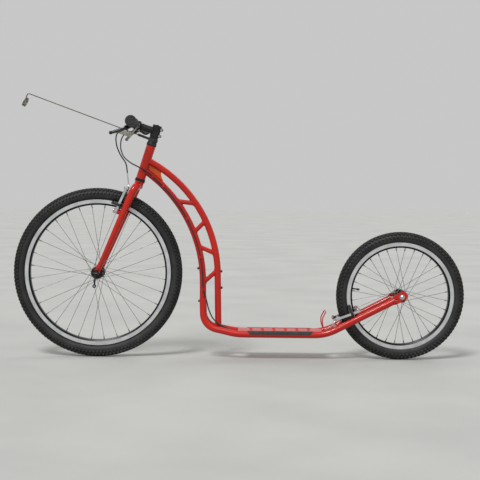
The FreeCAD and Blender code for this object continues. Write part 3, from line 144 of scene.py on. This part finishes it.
# %% The finishes of this scooter
finishes = {
    "frame_paint": finish("red_enamel", ((0.52, 0.009, 0.001), (0.42, 0.006, 0.001)), (0.28, 0.40),
                          160.0, 0.00012, coat=0.3, patch=3.0, shine=0.3),
    "grip_tape": finish("grit_tape", ((0.022, 0.022, 0.023), (0.042, 0.041, 0.040)), (0.8, 0.97),
                        2600.0, 0.0006, patch=60.0),
    "black_steel": finish("black_steel", ((0.012, 0.012, 0.013), (0.022, 0.022, 0.024)), (0.3, 0.45),
                          700.0, 0.00008, metal=0.3),
    "black_alloy": finish("black_anodised", ((0.014, 0.014, 0.016), (0.026, 0.026, 0.029)), (0.26, 0.42),
                          900.0, 0.00006, metal=0.6, patch=24.0),
    "bright_steel": finish("bright_steel", ((0.60, 0.60, 0.62), (0.46, 0.46, 0.48)), (0.2, 0.38),
                           500.0, 0.00008, metal=1.0, patch=30.0),
    "cable_housing": finish("cable_sheath", ((0.010, 0.010, 0.011), (0.018, 0.018, 0.019)), (0.32, 0.5),
                            800.0, 0.00008, patch=20.0),
    "black_plastic": finish("black_moulding", ((0.018, 0.018, 0.019), (0.030, 0.030, 0.031)), (0.42, 0.6),
                            900.0, 0.0001, patch=20.0),
    "grip_rubber": finish("grip_rubber", ((0.020, 0.020, 0.022), (0.036, 0.036, 0.038)), (0.6, 0.85),
                          1500.0, 0.0002, patch=40.0),
    "lever_black": finish("lever_black", ((0.012, 0.012, 0.014), (0.024, 0.024, 0.027)), (0.22, 0.36),
                          600.0, 0.00006, metal=0.5, patch=40.0),
    "bell_chrome": finish("bell_chrome", ((0.50, 0.47, 0.41), (0.38, 0.36, 0.32)), (0.1, 0.22),
                          300.0, 0.00004, metal=1.0, patch=40.0),
    "polished_alloy": finish("polished_alloy", ((0.72, 0.72, 0.73), (0.56, 0.56, 0.58)), (0.16, 0.34),
                             420.0, 0.0001, metal=1.0, patch=30.0),
    "pad_rubber": finish("pad_rubber", ((0.015, 0.015, 0.016), (0.035, 0.034, 0.034)), (0.6, 0.85),
                         900.0, 0.00025, patch=80.0),
    "tyre_rubber": finish("tyre_rubber", ((0.0085, 0.0085, 0.0092), (0.020, 0.019, 0.0185)), (0.5, 0.8),
                          700.0, 0.0003, patch=26.0),
}
own_finishes = {
    "head_gusset": finish("orange_plate", ((0.60, 0.085, 0.004), (0.50, 0.060, 0.004)), (0.24, 0.36),
                          160.0, 0.00012, coat=0.3, patch=4.0, shine=0.3),
    "guide_wire": finish("drawn_wire", ((0.20, 0.17, 0.13), (0.12, 0.10, 0.08)), (0.3, 0.5),
                         600.0, 0.00006, metal=0.8, patch=30.0),
    "quick_release_lever": finishes["black_alloy"],
}
for wheel in ("front", "rear"):
    spoke_tones = ((0.30, 0.295, 0.285), (0.20, 0.20, 0.195))
    own_finishes[wheel + "_spokes"] = finish(wheel + "_spoke_steel", spoke_tones, (0.28, 0.45),
                                             500.0, 0.00005, metal=0.9, patch=40.0)
print(len(finishes) + len(own_finishes), "finishes")

# %% [markdown]
# A rim is one aluminium ring with two finishes. Its web is black, and the band that the brake pads
# squeeze is turned bright on a lathe. One material can do both: it measures each point's distance
# from the axle and changes over at the band's inner edge, with fine rings left by the cutting tool.

# %% A rim finish that changes with the distance from the axle
def rim_finish(name, axle, band_inner):
    material, nodes, links, shader = new_material(name)
    place = nodes.new("ShaderNodeTexCoord")
    offset = nodes.new("ShaderNodeVectorMath")
    offset.operation = "SUBTRACT"
    offset.inputs[1].default_value = axle
    flat = nodes.new("ShaderNodeVectorMath")
    flat.operation = "MULTIPLY"
    flat.inputs[1].default_value = (1.0, 0.0, 1.0)
    length = nodes.new("ShaderNodeVectorMath")
    length.operation = "LENGTH"
    links.new(place.outputs["Object"], offset.inputs[0])
    links.new(offset.outputs["Vector"], flat.inputs[0])
    links.new(flat.outputs["Vector"], length.inputs[0])
    radius = length.outputs["Value"]
    band = ranged(nodes, links, radius, 0.0, 1.0, band_inner - 0.0002, band_inner + 0.0002)
    drift = ranged(nodes, links, noise(nodes, links, 30.0), 0.0, 1.0)
    bright = two_tones(nodes, links, drift, (0.74, 0.75, 0.76), (0.60, 0.61, 0.62))
    black = two_tones(nodes, links, drift, (0.012, 0.012, 0.013), (0.022, 0.022, 0.024))
    mix = nodes.new("ShaderNodeMix")
    mix.data_type = "RGBA"
    links.new(band, mix.inputs["Factor"])
    links.new(black, mix.inputs["A"])
    links.new(bright, mix.inputs["B"])
    links.new(mix.outputs["Result"], shader.inputs["Base Color"])
    links.new(ranged(nodes, links, noise(nodes, links, 500.0), 0.26, 0.42), shader.inputs["Roughness"])
    rings = nodes.new("ShaderNodeMath")
    rings.operation = "SINE"
    turns = nodes.new("ShaderNodeMath")
    turns.operation = "MULTIPLY"
    turns.inputs[1].default_value = 2.0 * math.pi / 0.0006
    links.new(radius, turns.inputs[0])
    links.new(turns.outputs["Value"], rings.inputs[0])
    links.new(lift(nodes, links, rings.outputs["Value"], 0.00002, 0.5), shader.inputs["Normal"])
    shader.inputs["Metallic"].default_value = 0.85
    return material


front_axle = Vector(joints["front_wheel_spin"]["pos_m"])
rear_axle = Vector(joints["rear_wheel_spin"]["pos_m"])
rim_finishes = {"front_rim": rim_finish("front_rim_finish", front_axle, 0.2710),
                "rear_rim": rim_finish("rear_rim_finish", rear_axle, 0.1950)}
print("front axle", tuple(front_axle), "rear axle", tuple(rear_axle))

# %% [markdown]
# The fixed pieces keep their shapes and only take a finish. Smooth shading with sharp edges kept by
# angle is already in their meshes, so the material is all that is set here.

# %% Dress the fixed pieces
for name, piece in frame["nodes"].items():
    material = rim_finishes.get(name) or own_finishes.get(name) or finishes[slot_of[name]]
    piece.data.materials.clear()
    piece.data.materials.append(material)
print("dressed", len(frame["nodes"]), "pieces")

# %% [markdown]
# Round things are most of a scooter. One helper turns an outline about any line, and another makes
# the mesh object, smooths it and rides it on its body. Sharp edges are kept where faces meet at
# more than a set angle, so a lip stays crisp while a barrel stays round.

# %% Mesh helpers
sharp_angle = math.radians(38.0)


def make_piece(name, points, faces, slot, body, replaced=()):
    mesh = bpy.data.meshes.new(name)
    mesh.from_pydata([tuple(p) for p in points], [], faces)
    mesh.validate()
    mesh.shade_smooth()
    mesh.set_sharp_from_angle(angle=sharp_angle)
    piece = bpy.data.objects.new(name, mesh)
    scene.collection.objects.link(piece)
    mesh.materials.append(finishes[slot])
    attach(piece, body)
    if replaced:
        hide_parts(*replaced)
    print(name, len(points), "points on", body)
    return piece


def side_ways(way):
    """Two directions at right angles to way and to each other."""
    way = way.normalized()
    helper = Vector((0, 1, 0)) if abs(way.y) < 0.9 else Vector((0, 0, 1))
    across = way.cross(helper).normalized()
    return across, way.cross(across)


def turned(outline, foot, way, steps=32, points=None, faces=None, ripple=None):
    """Turns (distance, radius) points about a line. The outline is closed if its ends meet."""
    points = [] if points is None else points
    faces = [] if faces is None else faces
    way = way.normalized()
    across, other = side_ways(way)
    first = len(points)
    closed = outline[0] == outline[-1]
    rows = outline[:-1] if closed else outline
    for distance, radius in rows:
        for i in range(steps):
            angle = 2 * math.pi * i / steps
            r = radius if ripple is None else radius + ripple(distance, angle)
            points.append(foot + way * distance + (across * math.cos(angle) + other * math.sin(angle)) * r)
    count = len(rows)
    for row in range(count if closed else count - 1):
        a = first + row * steps
        b = first + ((row + 1) % count) * steps
        for i in range(steps):
            j = (i + 1) % steps
            faces.append((a + i, a + j, b + j, b + i))
    if not closed:
        faces.append(tuple(first + i for i in range(steps))[::-1])
        faces.append(tuple(first + (count - 1) * steps + i for i in range(steps)))
    return points, faces


def swept(path, radii, steps, flat, side):
    """A closed rod through the path's points, with a depth at each and its thickness as a share of that."""
    points, faces = [], []
    for k, here in enumerate(path):
        way = (path[min(k + 1, len(path) - 1)] - path[max(k - 1, 0)]).normalized()
        across = (side - way * side.dot(way)).normalized()
        other = way.cross(across)
        for i in range(steps):
            angle = 2 * math.pi * i / steps
            points.append(here + across * math.cos(angle) * radii[k] * flat[k]
                          + other * math.sin(angle) * radii[k])
    for k in range(len(path) - 1):
        a = k * steps
        for i in range(steps):
            j = (i + 1) % steps
            faces.append((a + i, a + j, a + steps + j, a + steps + i))
    faces.append(tuple(range(steps))[::-1])
    faces.append(tuple((len(path) - 1) * steps + i for i in range(steps)))
    return points, faces

# %% [markdown]
# A knobbly tyre is a rubber casing with rows of separate blocks. The casing is one outline turned
# about the axle. The blocks are placed row by row round the tread, each a small tapered block that
# stands on the casing along its own normal, and neighbouring rows are half a pitch apart.

# %% Knobbly tyres
casing_half = 0.0200
knob_sink = 0.0012
# each row's lean from the crown in degrees, its shift in pitches, its half width and its share of the length
knob_rows = ((12, 0.0, 0.0040, 1.0), (-12, 0.5, 0.0040, 1.0), (39, 0.5, 0.0036, 0.95),
             (-39, 0.0, 0.0036, 0.95), (68, 0.0, 0.0046, 0.9), (-68, 0.5, 0.0046, 0.9))
lateral = Vector((0, 1, 0))


def knobbly_tyre(name, node, axle, body, tyre_r, rim_r, pitches, knob_length, knob_height):
    centre_r = tyre_r - knob_height - casing_half
    bead_y, wall = 0.0112, 0.0030
    start = math.asin((rim_r + 0.0006 - centre_r) / casing_half)
    arc = [(casing_half * math.cos(a), centre_r + casing_half * math.sin(a))
           for a in [start + (math.pi - 2 * start) * i / 28 for i in range(29)]]
    share = (casing_half - wall) / casing_half
    inner = [(y * share, centre_r + (r - centre_r) * share) for y, r in arc]
    high, low, toe = rim_r - 0.001, rim_r - 0.009, bead_y - 0.004
    outline = arc + [(-bead_y, high), (-bead_y, low), (-toe, low)]
    outline += inner[::-1] + [(toe, low), (bead_y, low), (bead_y, high)]
    outline.append(outline[0])
    points, faces = turned(outline, axle, lateral, 144)
    for tilt, shift, half_width, part in knob_rows:
        lean = math.radians(tilt)
        for i in range(pitches):
            angle = 2 * math.pi * (i + shift) / pitches
            radial = Vector((math.cos(angle), 0, math.sin(angle)))
            along = Vector((-math.sin(angle), 0, math.cos(angle)))
            normal = radial * math.cos(lean) + lateral * math.sin(lean)
            across = lateral * math.cos(lean) - radial * math.sin(lean)
            foot = axle + radial * centre_r + normal * casing_half
            first = len(points)
            half = knob_length * part / 2
            for rise, grow in ((-knob_sink, 1.1), (knob_height - 0.0008, 0.97), (knob_height, 0.82)):
                for u, v in ((-1, -1), (1, -1), (1, 1), (-1, 1)):
                    points.append(foot + normal * rise + along * (u * half * grow)
                                  + across * (v * half_width * grow))
            for level in (0, 4):
                for k in range(4):
                    m = (k + 1) % 4
                    faces.append((first + level + k, first + level + m, first + level + 4 + m,
                                  first + level + 4 + k))
            faces.append(tuple(first + 8 + k for k in range(4)))
            faces.append(tuple(first + k for k in (3, 2, 1, 0)))
    return make_piece(name, points, faces, "tyre_rubber", body, (node,))


knobbly_tyre("front_knobbly_tyre", "front_tyre", front_axle, "front_wheel",
             0.330, 0.285, 138, 0.0078, 0.0052)
knobbly_tyre("rear_knobbly_tyre", "rear_tyre", rear_axle, "rear_wheel",
             0.250, 0.209, 98, 0.0088, 0.0056)

# %% [markdown]
# Each inner tube is filled through a valve that comes out of the rim between two spokes: a threaded
# stem with a flanged foot and a cap. The thread is only a row of small steps.

# %% Valves
def valve(name, axle, body, rim_inner_r, angle):
    inward = Vector((-math.cos(angle), 0, -math.sin(angle)))
    foot = axle - inward * (rim_inner_r + 0.002)
    outline = [(0.0, 0.0042), (0.003, 0.0042), (0.0034, 0.0030)]
    for i in range(12):
        outline += [(0.0040 + i * 0.0012, 0.0031), (0.0046 + i * 0.0012, 0.0027)]
    outline += [(0.0190, 0.0040), (0.0196, 0.0044), (0.0280, 0.0042), (0.0296, 0.0030), (0.0300, 0.0010)]
    points, faces = turned(outline, foot, inward, 20)
    return make_piece(name, points, faces, "black_plastic", body)


valve("front_valve", front_axle, "front_wheel", 0.264, math.radians(66.4))
valve("rear_valve", rear_axle, "rear_wheel", 0.188, math.radians(171.9))

# %% [markdown]
# The grips are soft rubber sleeves with a pattern of small raised lozenges that the hand can hold in
# the wet. The outline has a lip at each end. The lozenges come from two crossed waves that lift the
# surface in real geometry, so they also show at the grip's edge. The closed outer end has two rings.

# %% Grips
bar_z = 0.903188
grip_inner = Vector((-0.39752, 0.172, bar_z))
grip_outer = Vector((-0.39539, 0.300, bar_z))
grip_length = (grip_outer - grip_inner).length


def lozenges(distance, angle):
    if not 0.012 < distance < grip_length - 0.014:
        return 0.0
    wave = math.sin(2 * math.pi * distance / 0.0085) * math.sin(12 * angle)
    return 0.00045 * max(-1.0, min(1.0, 3.0 * wave)) - 0.00035


def grip(name, side, replaced):
    flip = Vector((1, side, 1))
    foot, end = grip_inner * flip, grip_outer * flip
    outline = [(0.0, 0.0120), (0.0, 0.0170), (0.0008, 0.0192), (0.0030, 0.0194), (0.0042, 0.0184),
               (0.0060, 0.0168)]
    steps = 84
    outline += [(0.008 + (grip_length - 0.018) * i / steps, 0.0166) for i in range(steps + 1)]
    outline += [(grip_length - back, r) for back, r in (
        (0.0075, 0.0176), (0.0060, 0.0206), (0.0015, 0.0211), (0.0002, 0.0200), (0.0, 0.0150),
        (0.0014, 0.0143), (0.0014, 0.0130), (0.0, 0.0123), (0.0, 0.0062), (0.0016, 0.0056),
        (0.0016, 0.0032), (0.0004, 0.0026), (0.0004, 0.0006))]
    points, faces = turned(outline, foot, end - foot, 96, ripple=lozenges)
    return make_piece(name, points, faces, "grip_rubber", "steering", replaced)


grip("grip_right", 1, ("grips",))
grip("grip_left", -1, ("grips",))

# %% [markdown]
# A brake lever is a cast bar that is deep at its pivot, hooks outward along the grip and ends in a
# ball, so that a hand can't slip off. It is swept along its middle line with a depth at each station,
# and its section is an ellipse, so light runs along it in one soft line.

# %% Brake levers
lever_reach, lever_root_out = 0.032, -0.006
# each station's distance from the bar, distance outward, half depth and thickness as a share of depth
lever_stations = ((0.0275, -0.0095, 0.0045, 0.5), (0.0300, -0.0070, 0.0072, 0.5),
                  (0.0345, -0.0020, 0.0080, 0.5), (0.0400, 0.0045, 0.0078, 0.53),
                  (0.0460, 0.0115, 0.0066, 0.85), (0.0535, 0.0220, 0.0056, 1.25),
                  (0.0600, 0.0340, 0.0052, 1.42), (0.0665, 0.0500, 0.0048, 1.5),
                  (0.0715, 0.0680, 0.0043, 1.55), (0.0780, 0.0860, 0.0040, 1.5),
                  (0.0840, 0.1010, 0.0040, 1.4), (0.0860, 0.1080, 0.0044, 1.3))
lever_ball = (0.0860, 0.1120, 0.0068)


def lever(name, joint_name, side, body, node):
    pivot = Vector(joints[joint_name]["pos_m"])
    bar_way = Vector((0.016664, side, 0)).normalized()
    axis = Vector(joints[joint_name]["axis"])
    reach = axis.cross(bar_way).normalized()
    reach = reach if reach.x < 0 else -reach
    origin = pivot - reach * lever_reach - bar_way * lever_root_out
    path = [origin + reach * x + bar_way * y for x, y, depth, share in lever_stations]
    points, faces = swept(path, [s[2] for s in lever_stations], 20, [s[3] for s in lever_stations], axis)
    ball_centre = origin + reach * lever_ball[0] + bar_way * lever_ball[1]
    angles = [math.pi * i / 14 for i in range(15)]
    ball = [(-lever_ball[2] * math.cos(a), max(lever_ball[2] * math.sin(a), 0.0002)) for a in angles]
    points, faces = turned(ball, ball_centre, bar_way, 24, points, faces)
    return make_piece(name, points, faces, "lever_black", body, (node,))


lever("lever_blade_right", "right_brake_lever", 1, "right_lever", "brake_lever_right")
lever("lever_blade_left", "left_brake_lever", -1, "left_lever", "brake_lever_left")

# %% [markdown]
# The inner wire leaves the noodle, crosses over the tyre and is clamped to the other arm. A rubber
# bellows keeps mud out of the noodle's mouth. Both ride on the noodle's arm, since the two arms close
# by only a few degrees.

# %% Boots and inner wires
arm_head = 0.097


def boot_and_wire(prefix, joint_name, up_sign, noodle_side, inner_y, body):
    pivot = Vector(joints[joint_name]["pos_m"])
    axis = Vector(joints[joint_name]["axis"])
    up = Vector((abs(axis.z) * up_sign, 0, abs(axis.x) * up_sign))
    head = pivot + up * arm_head
    mouth = Vector((head.x, noodle_side * inner_y, head.z))
    way = Vector((0, -noodle_side, 0))
    outline = [(0.0, 0.0030), (0.001, 0.0042)]
    for i in range(9):
        outline += [(0.003 + i * 0.0040, 0.0058 - i * 0.00022), (0.005 + i * 0.0040, 0.0040 - i * 0.00016)]
    outline += [(0.0400, 0.0030), (0.0440, 0.0016)]
    points, faces = turned(outline, mouth, way, 24)
    make_piece(prefix + "_boot", points, faces, "pad_rubber", body)
    points, faces = turned([(-0.002, 0.0008), (0.0580, 0.0008), (0.0700, 0.0008)], mouth, way, 10)
    make_piece(prefix + "_inner_wire", points, faces, "bright_steel", body)
    end = [(0.0700, 0.0008), (0.0700, 0.0012), (0.0780, 0.0012), (0.0780, 0.0004)]
    points, faces = turned(end, mouth, way, 10)
    make_piece(prefix + "_wire_end", points, faces, "polished_alloy", body)


boot_and_wire("front", "front_right_brake_arm", 1, 1, 0.023, "front_right_arm")
boot_and_wire("rear", "rear_left_brake_arm", -1, -1, 0.023, "rear_left_arm")

# %% [markdown]
# Each brake arm turns on a stud and is kept there by a bright bolt with a flanged head. The bolts sit
# over the studs' ends and stay with the fork or the frame while the arms swing.

# %% Pivot bolts
def pivot_bolts(name, joint_name, body):
    pivot = Vector(joints[joint_name]["pos_m"])
    way = Vector(joints[joint_name]["axis"])
    way = way if (way.x < 0) else -way
    points, faces = [], []
    for side in (-1, 1):
        foot = Vector((pivot.x, abs(pivot.y) * side, pivot.z)) + way * 0.0051
        outline = [(0.0, 0.0096), (0.0, 0.0102), (0.0022, 0.0102), (0.0030, 0.0094), (0.0040, 0.0070),
                   (0.0068, 0.0066), (0.0074, 0.0058), (0.0074, 0.0030), (0.0050, 0.0028), (0.0050, 0.0008)]
        turned(outline, foot, way, 32, points, faces)
    return make_piece(name, points, faces, "polished_alloy", body)


pivot_bolts("front_pivot_bolts", "front_left_brake_arm", "steering")
pivot_bolts("rear_pivot_bolts", "rear_right_brake_arm", "frame")

# %% [markdown]
# Bottle bosses are kept clean by short black bolts. Each is a low head with a round socket, turned as
# one outline.

# %% Boss bolts
def tube_edge(node, z, sign):
    """The outer X of a curved tube at a height, on its front or rear side."""
    piece = frame["nodes"][node]
    corners = [v.co for v in piece.data.vertices]
    tree = BVHTree.FromPolygons(corners, [p.vertices for p in piece.data.polygons])
    return tree.ray_cast(Vector((sign * 1.5, 0, z)), Vector((-sign, 0, 0)))[0].x


boss_face = 0.0035
boss_drill_gap = 0.006
bosses = (("upper_tube", 0.3387, 1), ("upper_tube", 0.2747, 1),
          ("down_tube", 0.3499, -1), ("down_tube", 0.2219, -1))


def boss_bolts():
    points, faces = [], []
    for node, z, sign in bosses:
        edge = tube_edge(node, z + boss_drill_gap, sign)
        foot = Vector((edge + sign * boss_face, 0, z))
        outline = [(-0.003, 0.0022), (0.0, 0.0022), (0.0002, 0.0043), (0.0018, 0.0043), (0.0026, 0.0034),
                   (0.0028, 0.0024), (0.0008, 0.0020), (0.0008, 0.0006)]
        turned(outline, foot, Vector((sign, 0, 0)), 24, points, faces)
    return make_piece("boss_bolts", points, faces, "black_steel", "frame")


boss_bolts()

# %% [markdown]
# Tubes are joined by small stacked-dime weld beads under the paint. Each bead follows the line where
# one tube meets the other. That line is found by shooting rays from the thinner tube's wall on to the
# thicker one, and the bead's radius swells and shrinks a little along it.

# %% Weld beads
bead_r = 0.0019
brace_r = 0.00875


def tree_of(*names):
    points, faces = [], []
    for name in names:
        mesh = frame["nodes"][name].data
        first = len(points)
        points += [v.co.copy() for v in mesh.vertices]
        faces += [[first + v for v in p.vertices] for p in mesh.polygons]
    return BVHTree.FromPolygons(points, faces)


def bead(tree, start, way, radius, points, faces, steps=72):
    across, other = side_ways(way)
    ring = []
    for i in range(steps):
        angle = 2 * math.pi * i / steps
        foot = start + (across * math.cos(angle) + other * math.sin(angle)) * (radius + 0.0006)
        hit = tree.ray_cast(foot, way.normalized(), 0.2)[0]
        if hit is None:
            return False
        ring.append(hit)
    first, sides = len(points), 8
    for k, here in enumerate(ring):
        along = (ring[(k + 1) % steps] - ring[k - 1]).normalized()
        a, b = side_ways(along)
        r = bead_r * (1.0 + 0.16 * math.sin(2 * math.pi * k / 4))
        for i in range(sides):
            angle = 2 * math.pi * i / sides
            points.append(here + (a * math.cos(angle) + b * math.sin(angle)) * r)
    for k in range(steps):
        m = (k + 1) % steps
        for i in range(sides):
            j = (i + 1) % sides
            faces.append((first + k * sides + i, first + k * sides + j, first + m * sides + j,
                          first + m * sides + i))
    return True


def centre_x(node, z):
    return (tube_edge(node, z, 1) + tube_edge(node, z, -1)) / 2


brace_ends = ((0.6119, 0.6020), (0.4890, 0.5360), (0.4371, 0.4070), (0.2920, 0.3440))
bead_points, bead_faces, beads = [], [], 0
down_tree, upper_tree = tree_of("down_tube"), tree_of("upper_tube")
for down_z, upper_z in brace_ends:
    a = Vector((centre_x("down_tube", down_z), 0, down_z))
    b = Vector((centre_x("upper_tube", upper_z), 0, upper_z))
    middle = (a + b) / 2
    beads += bead(down_tree, middle, a - b, brace_r, bead_points, bead_faces)
    beads += bead(upper_tree, middle, b - a, brace_r, bead_points, bead_faces)
make_piece("weld_beads", bead_points, bead_faces, "frame_paint", "frame")
print(beads, "beads")

# %% [markdown]
# The deck plate is pierced and its holes are flared upward, so their rims bite into a shoe's sole.
# Each flare is a low turned collar on the plate round its hole.

# %% Flared holes of the deck
hole_pitch, hole_row_y, holes_per_row = 0.045, 0.021, 6


def deck_flares():
    low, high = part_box("deck_plate")
    points, faces = [], []
    middle = low.x + (high.x - low.x) / 2
    for i in range(holes_per_row):
        for y in (-hole_row_y, hole_row_y):
            shift = (i - (holes_per_row - 1) / 2) * hole_pitch
            foot = Vector((middle + shift, y, high.z - 0.0004))
            outline = [(0.0, 0.0060), (0.0, 0.0085), (0.0006, 0.0080), (0.0016, 0.0068), (0.0019, 0.0062),
                       (0.0016, 0.0060), (0.0, 0.0060)]
            turned(outline, foot, Vector((0, 0, 1)), 28, points, faces)
    return make_piece("deck_flares", points, faces, "frame_paint", "frame")


deck_flares()

# %% [markdown]
# The scooter stands on a plain pale floor under soft light. One wide sun above and in front makes the
# long highlights on the tubes, a weaker one from behind opens the shadows, and an even sky does the
# rest. Suns light the floor evenly however far it reaches, which a lamp close by would not.

# %% Floor and light
floor_half = 30.0


def stage_floor():
    material, nodes, links, shader = new_material("pale_floor")
    drift = ranged(nodes, links, noise(nodes, links, 2.0), 0.0, 1.0)
    tone = two_tones(nodes, links, drift, (0.44, 0.44, 0.425), (0.40, 0.40, 0.387))
    links.new(tone, shader.inputs["Base Color"])
    shader.inputs["Roughness"].default_value = 0.9
    mesh = bpy.data.meshes.new("floor")
    half = floor_half
    corners = [(-half, -half, 0.0), (half, -half, 0.0), (half, half, 0.0), (-half, half, 0.0)]
    mesh.from_pydata(corners, [], [(0, 1, 2, 3)])
    mesh.materials.append(material)
    floor = bpy.data.objects.new("floor", mesh)
    scene.collection.objects.link(floor)


def lamp(name, place, target, softness, strength):
    data = bpy.data.lights.new(name, "SUN")
    data.angle = softness
    data.energy = strength
    light = bpy.data.objects.new(name, data)
    light.location = place
    light.rotation_euler = (Vector(target) - Vector(place)).to_track_quat("-Z", "Y").to_euler()
    scene.collection.objects.link(light)


stage_floor()
lamp("key_lamp", (-1.4, -3.0, 5.0), (0.0, 0.0, 0.4), 0.3, 2.3)
lamp("fill_lamp", (3.0, 3.0, 4.0), (0.2, 0.0, 0.4), 0.6, 0.6)
world = bpy.data.worlds.new("soft_sky")
world.use_nodes = True
world.node_tree.nodes["Background"].inputs["Color"].default_value = (0.86, 0.87, 0.86, 1.0)
world.node_tree.nodes["Background"].inputs["Strength"].default_value = 0.66
scene.world = world
scene.view_settings.view_transform = "Standard"
print("lamps", len(bpy.data.lights))
